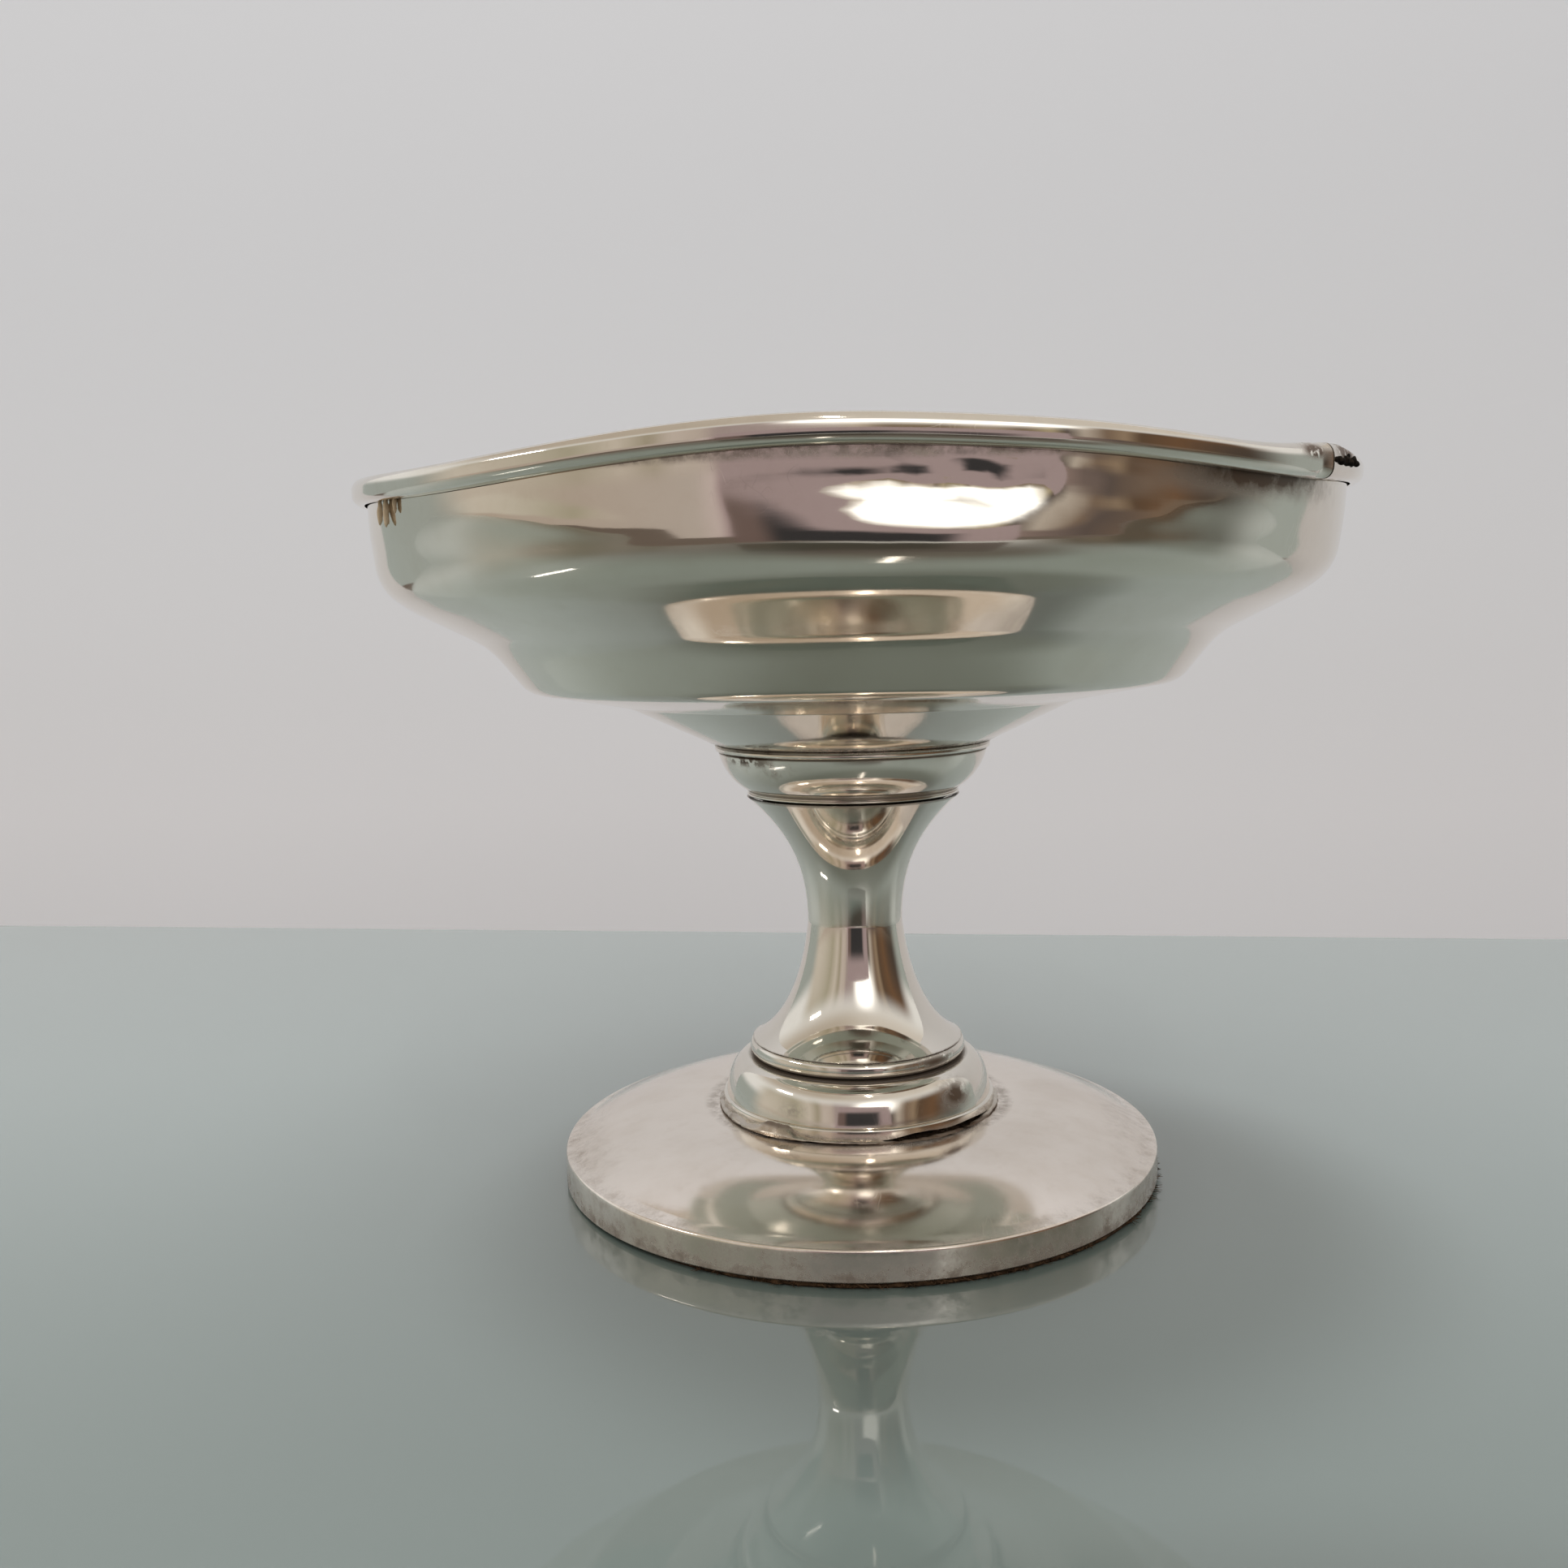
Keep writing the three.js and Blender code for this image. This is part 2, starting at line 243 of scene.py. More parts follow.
# Painted light: the wall is paler low down
wall_up = plain_wall.rise(plain_wall.split(spot)[2], *wall_fade)
plain_wall.feed("Base Color", plain_wall.blend(wall_up, wall_low_painted_light, wall_colour))
wall.data.materials.append(plain_wall.owner)

room_floor = flat_sheet("room_floor", room_floor_width, room_floor_width, (0, 0, -room_drop))
boards = paint("room_floor", {"Base Color": room_floor_colour, "Roughness": 0.9})
room_floor.data.materials.append(boards.owner)

# Card: a card stands upright behind the camera and gives the silver something dark to mirror. It is no lamp,
# yet it glows with its own colours, black with a brown strip at its left and mauve above; it is hidden from
# the camera itself.
card_left = -78 * mm
card_right = 128 * mm
card_bottom = 8 * mm
card_top = 127 * mm
card_place = -262 * mm
card_strip = -48 * mm
card_black_end = 78 * mm
card_upper = 82 * mm
strip_blur = 10 * mm
end_blur = 14 * mm
upper_blur = 12 * mm
card_mauve = (0.36, 0.28, 0.285, 1)
card_brown = (0.15, 0.105, 0.095, 1)
card_black = (0.035, 0.033, 0.035, 1)

card_middle = ((card_left + card_right) / 2, card_place, (card_bottom + card_top) / 2)
card_size = (card_right - card_left, card_top - card_bottom)
dark_card = flat_sheet("dark_card", *card_size, card_middle, (math.pi / 2, 0, 0))
dark_card.visible_camera = False
dark_card.visible_shadow = False
card_face = paint("dark_card", {"Base Color": (0, 0, 0, 1), "Roughness": 1.0, "Emission Strength": 1.0})
spot = card_face.node("ShaderNodeTexCoord", out="Object")
card_x, _, card_z = card_face.split(spot)
past_strip = card_face.rise(card_x, card_strip - strip_blur, card_strip + strip_blur)
card_low = card_face.blend(past_strip, card_brown, card_black)
card_share = card_face.rise(card_z, card_upper - upper_blur, card_upper + upper_blur)
past_black = card_face.rise(card_x, card_black_end - end_blur, card_black_end + end_blur)
card_share = card_share.math("MAXIMUM", card_share, past_black)
card_face.feed("Emission Color", card_face.blend(card_share, card_low, card_mauve))
dark_card.data.materials.append(card_face.owner)

# Light: an even pale room, duller and warmer behind the camera, and two soft ceiling panels. A panel is
# given by where it hangs as seen from the dish: its side angle, height angle and distance, then its
# width, length, power and tint. The low and high stops are the room behind the camera, from left to right.
pale_room = (0.82, 0.82, 0.81, 1)
side_room = (0.36, 0.395, 0.375, 1)
ceiling_left = (0.50, 0.44, 0.37, 1)
ceiling_right = (0.66, 0.61, 0.55, 1)
low_stops = [
    (0.0, (0.46, 0.39, 0.33, 1)),
    (0.29, (0.47, 0.41, 0.37, 1)),
    (0.325, (0.56, 0.47, 0.45, 1)),
    (0.34, (0.37, 0.28, 0.285, 1)),
    (0.45, (0.36, 0.28, 0.285, 1)),
    (0.54, (0.42, 0.36, 0.37, 1)),
    (0.62, (0.30, 0.24, 0.235, 1)),
    (0.72, (0.27, 0.20, 0.18, 1)),
    (0.84, (0.11, 0.085, 0.075, 1)),
    (0.94, (0.19, 0.13, 0.09, 1)),
    (1.0, (0.14, 0.115, 0.09, 1)),
]
high_stops = [
    (0.0, (0.60, 0.55, 0.48, 1)),
    (0.10, (0.40, 0.37, 0.28, 1)),
    (0.17, (0.58, 0.52, 0.45, 1)),
    (0.22, (0.36, 0.32, 0.24, 1)),
    (0.26, (0.55, 0.48, 0.43, 1)),
    (0.31, (0.50, 0.43, 0.38, 1)),
    (0.34, (0.37, 0.30, 0.29, 1)),
    (0.46, (0.40, 0.33, 0.32, 1)),
    (0.60, (0.50, 0.44, 0.40, 1)),
    (0.635, (0.50, 0.42, 0.33, 1)),
    (0.66, (0.16, 0.11, 0.07, 1)),
    (0.70, (0.42, 0.35, 0.22, 1)),
    (0.73, (0.07, 0.05, 0.045, 1)),
    (0.77, (0.48, 0.42, 0.36, 1)),
    (0.82, (0.20, 0.14, 0.10, 1)),
    (0.86, (0.30, 0.22, 0.15, 1)),
    (0.89, (0.11, 0.07, 0.045, 1)),
    (0.95, (0.16, 0.09, 0.05, 1)),
    (1.0, (0.07, 0.055, 0.045, 1)),
]
haze = (0.62, 0.56, 0.53, 1)
glow = (1.9, 1.88, 1.84, 1)
panels = [
    (12, 57, 1.25, 0.035, 0.26, 0.75, (1.0, 0.93, 0.84)),
    (-76, 34, 1.20, 0.30, 0.04, 0.9, (1.0, 0.97, 0.93)),
]
behind_start = (-0.30, 0.05)
behind_top = (0.36, 0.62)
horizon = (-0.06, 0.05)
side_start = (0.45, 0.6)
side_top = (0.10, 0.30)
ceiling_turn = (-0.5, 0.4)
ceiling_start = (0.45, 0.75)
haze_start = (0.14, 0.28)
haze_place = (0.10, 0.34)
glow_across = (0.24, 0.42)
glow_height = (0.39, 0.30)
glow_edge = (0.0, 0.6)


def near(finish, tone, centre, reach):
    """1 at the centre and 0 from reach away, with a smooth fall."""
    return 1 - finish.rise(abs(tone - centre), 0.0, reach)


world = bpy.data.worlds.new("room")
bpy.context.scene.world = world
room = Finish(world, "Background")
across, depth, height = room.split(room.node("ShaderNodeTexCoord", out="Generated"))
behind_camera = room.rise(-depth, *behind_start)
low_down = 1 - room.rise(height, *behind_top)
along = across * 0.5 + 0.5
low_room = room.node("ShaderNodeValToRGB", {"stops": low_stops}, {0: along})
high_room = room.node("ShaderNodeValToRGB", {"stops": high_stops}, {0: along})
front = room.blend(room.rise(height, *horizon), low_room, high_room)
beside = room.rise(abs(across), *side_start) * (1 - room.rise(height, *side_top))
overhead = room.blend(room.rise(across, *ceiling_turn), ceiling_left, ceiling_right)
upper = room.blend(room.rise(height, *ceiling_start), pale_room, overhead)
far_side = room.blend(beside, upper, side_room)
haze_share = room.rise(height, *haze_start) * near(room, across, *haze_place)
front = room.blend(haze_share, front, haze)
around = room.blend(behind_camera * low_down, far_side, front)
glow_reach = near(room, across, *glow_across) * near(room, height, *glow_height) * behind_camera
glow_share = room.rise(glow_reach, *glow_edge)
room.feed("Color", room.blend(glow_share, around, glow))

for side_angle, height_angle, distance, width, length, power, tint in panels:
    turn, lift = math.radians(side_angle), math.radians(height_angle)
    away = Vector((math.sin(turn) * math.cos(lift), -math.cos(turn) * math.cos(lift), math.sin(lift)))
    bpy.ops.object.light_add(type="AREA", location=away * distance)
    panel = bpy.context.object
    panel.rotation_mode = "QUATERNION"
    panel.rotation_quaternion = away.to_track_quat("Z", "Y")
    panel.data.shape = "RECTANGLE"
    panel.data.size = width
    panel.data.size_y = length
    panel.data.energy = power
    panel.data.color = tint
    panel.visible_camera = False

# Daylight: the room's own even light comes down on the table and the wall from two wide soft lamps,
# each given by its place, its aim, its width and its power. The lamps don't show in the silver.
daylights = [((0.1, 0.12, 1.5), (0, 0.0, 0), 0.8, 4), ((-0.1, -0.7, 1.5), (0, 0.4, 0.1), 1.3, 8.5)]
for place, aim, width, power in daylights:
    bpy.ops.object.light_add(type="AREA", location=place)
    daylight = bpy.context.object
    daylight.rotation_mode = "QUATERNION"
    daylight.rotation_quaternion = (Vector(place) - Vector(aim)).to_track_quat("Z", "Y")
    daylight.data.size = width
    daylight.data.energy = power
    daylight.visible_camera = False
    daylight.visible_glossy = False

# Felt: a brown disc glued under the foot, cut by hand a little full, so that its edge is squeezed out
# under the foot's edge and frays into short fibres there.
felt_radius = 46.4
felt_thickness = 1.5
felt_spread = 0.85
felt_squeeze = 0.75
felt_browns = ((0.030, 0.017, 0.009, 1), (0.110, 0.062, 0.032, 1))
fibre_count = 84
fringe_turns = (14, 84, 128, 174, 219)
fibre_base = 0.11
fibre_tip = 0.02
fibre_shortest = 0.5
fibre_longest = 1.9
fibre_rise = (0.16, 0.6)
fibre_climb = 0.13
fibre_pitch = (-0.3, 0.1)
fibre_swing = 0.9
fringe_half = 30
nap_size = 1.6
nap_strength = 0.9
short_push = (0.9, 0.4, 0)
low_left_angle = -66
low_left_reach = 34


def spun(name, outline, steps, gap=0.0):
    """A closed outline of (radius, height) points in millimetres, swept round the axis. With a gap, in
    radians, the two ends are closed."""
    bpy.ops.mesh.primitive_plane_add(size=mm)
    piece = bpy.context.object
    piece.name = name
    bpy.ops.object.mode_set(mode="EDIT")
    bpy.ops.mesh.select_all(action="SELECT")
    bpy.ops.mesh.merge(type="CENTER")
    here = (0, 0)
    for index, (radius, height) in enumerate([*outline, outline[0]]):
        step = ((radius - here[0]) * mm, 0, (height - here[1]) * mm)
        if index == 0:
            bpy.ops.transform.translate(value=step)
        else:
            bpy.ops.mesh.extrude_region_move(TRANSFORM_OT_translate={"value": step})
        here = (radius, height)
    bpy.ops.mesh.select_all(action="SELECT")
    bpy.ops.mesh.spin(steps=steps, angle=math.tau - gap, center=(0, 0, 0), axis=(0, 0, 1))
    bpy.ops.mesh.select_all(action="SELECT")
    bpy.ops.mesh.remove_doubles(threshold=0.0005 * mm)
    if gap:
        bpy.ops.mesh.fill_holes(sides=0)
    bpy.ops.mesh.normals_make_consistent(inside=False)
    bpy.ops.object.mode_set(mode="OBJECT")
    bpy.ops.object.shade_smooth_by_angle(angle=math.radians(32))
    return piece


def straight(start, end, steps):
    """Points from start up to and without end."""
    return [
        (start[0] + (end[0] - start[0]) * step / steps, start[1] + (end[1] - start[1]) * step / steps)
        for step in range(steps)
    ]


def shifted(piece, name, share_of, push):
    """Moves the points by push, in millimetres, times the share that share_of gives for a point."""
    group = piece.vertex_groups.new(name=name)
    for vertex in piece.data.vertices:
        share = share_of(vertex.co / mm)
        if share > 0.001:
            group.add([vertex.index], share, "REPLACE")
    bpy.context.view_layer.objects.active = piece
    for direction, amount in zip("XYZ", push):
        if amount:
            displace = piece.modifiers.new(name, "DISPLACE")
            displace.direction = direction
            displace.strength = amount * mm
            displace.mid_level = 0
            displace.vertex_group = name
            bpy.ops.object.modifier_apply(modifier=displace.name)
    piece.vertex_groups.remove(piece.vertex_groups[name])


def roughed(piece, name, size, strength, share_of=None):
    """Unevenness of a given grain size and strength, in millimetres, along the surface's own direction."""
    cloud = bpy.data.textures.new(name, "CLOUDS")
    cloud.noise_scale = size * mm
    cloud.noise_depth = 2
    displace = piece.modifiers.new(name, "DISPLACE")
    displace.texture = cloud
    displace.texture_coords = "LOCAL"
    displace.strength = strength * mm
    if share_of:
        group = piece.vertex_groups.new(name=name)
        for vertex in piece.data.vertices:
            group.add([vertex.index], min(max(share_of(vertex.co / mm), 0), 1), "REPLACE")
        displace.vertex_group = name
    bpy.context.view_layer.objects.active = piece
    bpy.ops.object.modifier_apply(modifier=displace.name)
    if share_of:
        piece.vertex_groups.remove(piece.vertex_groups[name])


def dressed(piece, finish):
    piece.data.materials.clear()
    piece.data.materials.append(finish.owner)
    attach(piece, "root")


def bell(value, centre, reach):
    return math.exp(-(((value - centre) / reach) ** 2))


def front_angle(at):
    """Degrees round the axis from the front, positive to the right."""
    return math.degrees(math.atan2(at.x, -at.y))


def short_left(at):
    return bell(front_angle(at), low_left_angle, low_left_reach) if at.xy.length > felt_radius - 0.1 else 0


def frayed(at):
    return 1 if at.xy.length > felt_radius * 0.98 and at.z > 0.05 else 0


felt_edge = [
    (felt_radius, felt_thickness),
    (felt_radius, felt_spread),
    (felt_radius + felt_squeeze, felt_spread * 0.8),
    (felt_radius + felt_squeeze, felt_spread * 0.4),
    (felt_radius + felt_squeeze * 0.6, 0),
]
felt = spun("felt_disc", [(0, felt_thickness), *felt_edge, (felt_radius * 0.7, 0), (0, 0)], 360)
roughed(felt, "nap", nap_size, nap_strength, frayed)
shifted(felt, "short", short_left, short_push)
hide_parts("felt_pad")

random.seed(11)
fibre_names = []
for _ in range(fibre_count):
    angle = math.radians(random.uniform(-fringe_half, fringe_half))
    length = random.uniform(fibre_shortest, fibre_longest)
    root = (felt_radius + felt_squeeze * 0.5 + length / 2) * mm
    rise = (random.uniform(*fibre_rise) + fibre_climb * length) * mm
    place = (root * math.sin(angle), -root * math.cos(angle), rise)
    pitch = math.pi / 2 + random.uniform(*fibre_pitch)
    lean = (pitch, 0, angle + random.uniform(-fibre_swing, fibre_swing))
    bpy.ops.mesh.primitive_cone_add(
        vertices=4,
        radius1=fibre_base * mm,
        radius2=fibre_tip * mm,
        depth=length * mm,
        location=place,
        rotation=lean,
    )
    fibre_names.append(bpy.context.object.name)
for name in fibre_names:
    bpy.data.objects[name].select_set(True)
fibres = bpy.data.objects[fibre_names[0]]
bpy.context.view_layer.objects.active = fibres
bpy.ops.object.join()
bpy.ops.object.transform_apply(location=True, rotation=True, scale=True)
# The front fringe again, turned to the other places where the edge frays
fringes = [fibres]
for turn in fringe_turns:
    bpy.ops.object.select_all(action="DESELECT")
    fibres.select_set(True)
    bpy.context.view_layer.objects.active = fibres
    bpy.ops.object.duplicate()
    bpy.context.object.rotation_euler.z = math.radians(turn)
    fringes.append(bpy.context.object)
for fringe in fringes:
    fringe.select_set(True)
bpy.context.view_layer.objects.active = fibres
bpy.ops.object.join()
fibres.name = "felt_fibres"
bpy.ops.object.mode_set(mode="EDIT")
bpy.ops.mesh.select_all(action="SELECT")
bpy.ops.mesh.normals_make_consistent(inside=False)
bpy.ops.object.mode_set(mode="OBJECT")


def grainy(name, fixed, grain, colours, relief, between=None):
    """A dull surface that goes from one colour to the other with its grain. grain is its scale, detail and
    roughness, relief the strength and the depth in millimetres, and between the part that changes colour."""
    finish = paint(name, fixed)
    spot = finish.node("ShaderNodeTexCoord", out="Object")
    grains = finish.noise(spot, *grain)
    share = finish.rise(grains, *between) if between else grains
    finish.feed("Base Color", finish.blend(share, *colours))
    strength, depth = relief
    bump = {"Height": grains, "Strength": strength, "Distance": depth * mm}
    finish.feed("Normal", finish.node("ShaderNodeBump", None, bump))
    return finish


dull_cloth = {"Roughness": 0.95, "Specular IOR Level": 0.2}
felt_grain = (900.0, 4.0, 0.7)
cloth = grainy("brown_felt", dull_cloth, felt_grain, felt_browns, (0.9, 0.2), (0.35, 0.7))
dressed(felt, cloth)
dressed(fibres, cloth)

# Closing card and plaster: the foot is weighted with plaster poured into the upturned shell, and a
# disc of brown board closes it under the felt. The column above is filled with the same plaster.
card_browns = ((0.19, 0.13, 0.08, 1), (0.29, 0.21, 0.13, 1))
plaster_greys = ((0.42, 0.37, 0.29, 1), (0.62, 0.57, 0.47, 1))

board = grainy("closing_board", {"Roughness": 0.9}, (700.0, 5.0, 0.6), card_browns, (0.5, 0.1))
plaster = grainy("plaster", {"Roughness": 0.92}, (400.0, 6.0, 0.65), plaster_greys, (0.6, 0.2))


def finished(name, finish):
    """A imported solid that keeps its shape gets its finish."""
    slots = nodes[name].data.materials
    slots.clear()
    slots.append(finish.owner)


finished("closing_card", board)
finished("foot_filling", plaster)
finished("stem_filling", plaster)

# Foot: a spun silver shell with a low skirt. Its top has gone soft and warm from years of hand
# polishing in circles, its edge is bright, and brown tarnish is left along the edge and on the skirt.
foot_radius = 47.5
foot_lift = 0.85
foot_edge_level = 5.4
crown_level = 10.6
crown_radius = 26.5
foot_hole_radius = 15.4
skirt_round = 0.9
skirt_edge = 0.25
low_edge_drop = 0.55
sheet_wall = 0.8
foot_silver = (0.91, 0.835, 0.76, 1)
tarnish_tan = (0.47, 0.35, 0.235, 1)
# The brown that stains take, and that painted shade takes on the bowl and the foot collar
tarnish_and_shade_brown = (0.13, 0.085, 0.055, 1)


def corner_arc(before, corner, after, radius, steps):
    """The arc that rounds a corner between two straight runs."""
    before, corner, after = Vector(before), Vector(corner), Vector(after)
    back, ahead = (before - corner).normalized(), (after - corner).normalized()
    half = math.acos(max(-1, min(1, back.dot(ahead)))) / 2
    centre = corner + (back + ahead).normalized() * radius / math.sin(half)
    start = corner + back * radius / math.tan(half) - centre
    end = corner + ahead * radius / math.tan(half) - centre
    turn = math.atan2(start.x * end.y - start.y * end.x, start.dot(end))
    return [
        tuple(Matrix.Rotation(turn * step / steps, 2) @ start + centre) for step in range(steps + 1)
    ]


def dome(shrink, steps):
    reach = foot_radius - skirt_round - shrink - crown_radius
    rise = crown_level - foot_edge_level
    radius = (reach * reach + rise * rise) / (2 * rise)
    sweep = math.asin(reach / radius)
    return [
        (
            crown_radius + radius * math.sin(sweep * step / steps),
            crown_level - shrink - radius * (1 - math.cos(sweep * step / steps)),
        )
        for step in range(steps + 1)
    ]


dome_out = dome(0, 26)
dome_in = dome(sheet_wall, 26)
edge_round = corner_arc(
    dome_out[-2], (foot_radius, foot_edge_level + 0.02), (foot_radius, foot_lift), skirt_round * 0.62, 8
)
inner_radius = foot_radius - sheet_wall
foot_outline = [
    *straight((foot_hole_radius, crown_level), dome_out[0], 10),
    *dome_out[:-1],
    *edge_round,
    *straight((foot_radius, foot_edge_level - 1), (foot_radius, foot_lift + skirt_edge), 4),
    (foot_radius, foot_lift + skirt_edge),
    (foot_radius - skirt_edge, foot_lift),
    (inner_radius, foot_lift),
    (inner_radius, foot_edge_level - skirt_round - sheet_wall),
    *reversed(dome_in),
    (foot_hole_radius, crown_level - sheet_wall),
]
foot = spun("foot_shell", foot_outline, 320)


def low_edge(at):
    if at.z > foot_lift + 0.3 or at.xy.length < inner_radius - 0.1:
        return 0
    return bell(front_angle(at), low_left_angle, low_left_reach)


shifted(foot, "low_edge", low_edge, (0, 0, -low_edge_drop))
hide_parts("foot")


def silver(name, clean, gloss, wave, turned, hairline, tarnish, stains_and_shade_of):
    """Old silver. gloss is the least roughness, wave the depth in millimetres of the sheet's own unevenness,
    turned and hairline the strength of lathe rings and of scratches, and tarnish the share of tan film.
    The last argument gives the brown stains, and on the bowl and the foot collar painted shade too, by
    height and radius in millimetres and by degrees from the front."""
    finish = paint(name, {"Metallic": 1.0})
    spot = finish.node("ShaderNodeTexCoord", out="Object")
    x, y, z = (part * 1000.0 for part in finish.split(spot))
    radius = (x * x + y * y) ** 0.5
    angle = x.math("ARCTAN2", x, -y) * math.degrees(1)
    along_run = radius * 0.9 + z * 1.4
    turned_place = finish.node("ShaderNodeCombineXYZ", None, {0: x / radius, 1: y / radius, 2: along_run})
    rings = finish.noise(turned_place, 3.2, 5.0, 0.75)
    slant = finish.node("ShaderNodeMapping", None, {0: spot, 2: (0.4, 0.2, 0.7), 3: (1.0, 0.12, 0.3)})
    slant_back = finish.node("ShaderNodeMapping", None, {0: spot, 2: (-0.5, 0.3, -0.6), 3: (0.16, 1.0, 0.4)})
    lines = 1 - finish.rise(abs(finish.noise(slant, 420.0, 1.0) - 0.5), 0.0, 0.006)
    lines_back = 1 - finish.rise(abs(finish.noise(slant_back, 520.0, 1.0) - 0.47), 0.0, 0.005)
    scratches = lines.math("MAXIMUM", lines, lines_back) * finish.rise(finish.noise(spot, 60.0), 0.46, 0.66)
    film = finish.rise(finish.noise(spot, 55.0, 5.0, 0.62), 0.42, 0.72)
    mottle = finish.noise(spot, 420.0, 4.0, 0.7)
    swell = finish.noise(spot, 34.0, 1.0)
    share = (film * 0.75 + finish.rise(mottle, 0.5, 0.75) * 0.35) * tarnish
    colour = finish.blend(share, clean, tarnish_tan)
    roughness = rings * (turned * 0.06) + scratches * (hairline * 0.10) + film * 0.03 + mottle * 0.02 + gloss
    stain = stains_and_shade_of(finish, z, radius, angle, mottle)
    dirt = stain.math("MINIMUM", stain, 1.0)
    finish.feed("Metallic", 1 - dirt * 0.75)
    finish.feed("Base Color", finish.blend(dirt, colour, tarnish_and_shade_brown))
    finish.feed("Roughness", roughness + dirt * 0.35)
    relief = swell * wave + rings * (turned * 0.0015) - scratches * (hairline * 0.001)
    bump = finish.node("ShaderNodeBump", None, {"Height": relief, "Strength": 1.0, "Distance": mm})
    finish.feed("Normal", bump)
    return finish


def foot_dirt(finish, z, radius, angle, mottle):
    skirt = 1 - finish.rise(z, 4.6, 5.4)
    skirt_stain = skirt * finish.rise(mottle + near(finish, z, 1.2, 2.6) * 0.22, 0.42, 0.9) * 0.6
    edge_stain = near(finish, radius, 46.4, 2.2) * finish.rise(mottle, 0.35, 0.8) * 0.30
    left = near(finish, angle, -76.0, 26.0) * near(finish, radius, 44.5, 4.5)
    right = near(finish, angle, 88.0, 32.0) * near(finish, radius, 43.0, 5.0) * 0.7
    side_stain = (left + right) * finish.rise(mottle, 0.2, 0.9) * 0.45
    joint_stain = near(finish, radius, 23.6, 1.8) * finish.rise(mottle, 0.3, 0.7) * 0.5
    return skirt_stain + edge_stain + side_stain + joint_stain


dull_silver = silver("dull_silver", foot_silver, 0.075, 0.03, 1.0, 1.0, 0.26, foot_dirt)
dressed(foot, dull_silver)

# Foot collar: a turned silver ring with a flat flange and a round knop. It sits on the foot's crown,
# and its flange doesn't lie flat: at the front right it stands off the foot in a dark open gap.
flange_radius = 21.9
collar_seat = 10.9
flange_top = 12.65
flange_round = 0.4
knop_radius = 21.4
knop_top_radius = 17.6
knop_top = 18.5
knop_shoulder = (19.9, 18.5)
knop_side = (21.0, 15.6)
spigot_radius = 15.4
spigot_top = 20.4
bore_radius = 14.4
flange_lift = 0.75
gap_places = [(25, 11, 1), (50, 15, 0.8)]
bright_silver = (0.83, 0.785, 0.71, 1)


def bezier(start, first, second, end, steps):
    points = []
    for step in range(steps + 1):
        t = step / steps
        weights = ((1 - t) ** 3, 3 * t * (1 - t) ** 2, 3 * t * t * (1 - t), t**3)
        points.append(
            tuple(sum(w * p[axis] for w, p in zip(weights, (start, first, second, end))) for axis in (0, 1))
        )
    return points


knop = bezier((knop_radius, flange_top + 0.12), knop_side, knop_shoulder, (knop_top_radius, knop_top), 34)
flange_foot = (flange_radius, collar_seat)
flange_edge = (flange_radius, flange_top)
flange = corner_arc(flange_foot, flange_edge, (knop_radius, flange_top), flange_round, 8)
foot_collar_outline = [
    *straight((bore_radius, collar_seat), flange_foot, 6),
    *straight(flange_foot, flange[0], 3),
    *flange,
    (knop_radius - 0.05, flange_top + 0.03),
    *knop,
    (spigot_radius, knop_top),
    (spigot_radius, spigot_top),
    (bore_radius, spigot_top),
]
foot_collar = spun("foot_collar_ring", foot_collar_outline, 288)


def crests(at, places):
    """Bells added up round the axis. Each place has its angle, its reach in degrees and its height."""
    return sum(bell(front_angle(at), angle, reach) * height for angle, reach, height in places)


def flange_gap(at):
    if at.z > flange_top or at.xy.length < knop_radius - 1:
        return 0
    low = 1 - (at.z - collar_seat) / (flange_top - collar_seat)
    return low * min(1, crests(at, gap_places))


shifted(foot_collar, "flange_gap", flange_gap, (0, 0, flange_lift))
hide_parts("foot_collar")


def collar_dirt_and_shade(finish, z, radius, angle, mottle):
    groove = near(finish, z, 18.5, 0.8) * (1 - finish.rise(radius, 17.0, 18.0))
    # Painted shade: the flange's low edge and underside are painted dark, mottled with grime, for the shade
    # in the gap under the flange
    low = (1 - finish.rise(z, 10.9, 12.3)) * finish.rise(mottle, 0.35, 0.65)
    # Painted reflection: a dark patch on the knop's right side stands for the dark room it mirrors
    right = near(finish, angle, 46.0, 13.0) * near(finish, z, 15.6, 3.0) * finish.rise(mottle, 0.30, 0.55)
    left = near(finish, angle, -28.0, 9.0) * near(finish, z, 14.6, 1.6)
    left = left * finish.rise(mottle, 0.42, 0.60) * 0.4
    return groove * 0.9 + low * 0.6 + right * 1.2 + left


collar_silver = silver("collar_silver", bright_silver, 0.045, 0.02, 0.5, 0.7, 0.16, collar_dirt_and_shade)
dressed(foot_collar, collar_silver)

# Solder run: soft solder flowed round the flange. It lies in an uneven, lumpy thread, climbs the
# flange at the front left, and has broken away at the front right.
run_radius = 22.1
run_level = 10.95
run_width = 0.5
run_climb = 1.45
climb_places = [(-36, 9, 1), (-29, 4, 0.4), (-58, 7, 0.4), (150, 40, 0.5)]
run_spread = (-0.6, -0.8, 0)
spread_place = (-40, 22)
spread_share = 0.9
run_sink = 0.55
broken_places = [(20, 12, 1), (48, 17, 1)]
lump_size = 1.5
lump_height = 0.38
solder_silver = (0.60, 0.545, 0.475, 1)


def wire(radius, level, half_width, half_height, steps):
    """The outline of a flattened wire."""
    turns = [math.tau * step / steps for step in range(steps)]
    return [(radius + half_width * math.cos(turn), level + half_height * math.sin(turn)) for turn in turns]


solder_run = spun("solder_run", wire(run_radius, run_level, run_width, run_width * 0.55, 14), 360)


def climb(at):
    inward = 1 - (at.xy.length - run_radius + run_width) / (2 * run_width)
    above = at.z > run_level - 0.1
    return max(0, min(1, crests(at, climb_places))) * max(0, min(1, inward + 0.25)) * above


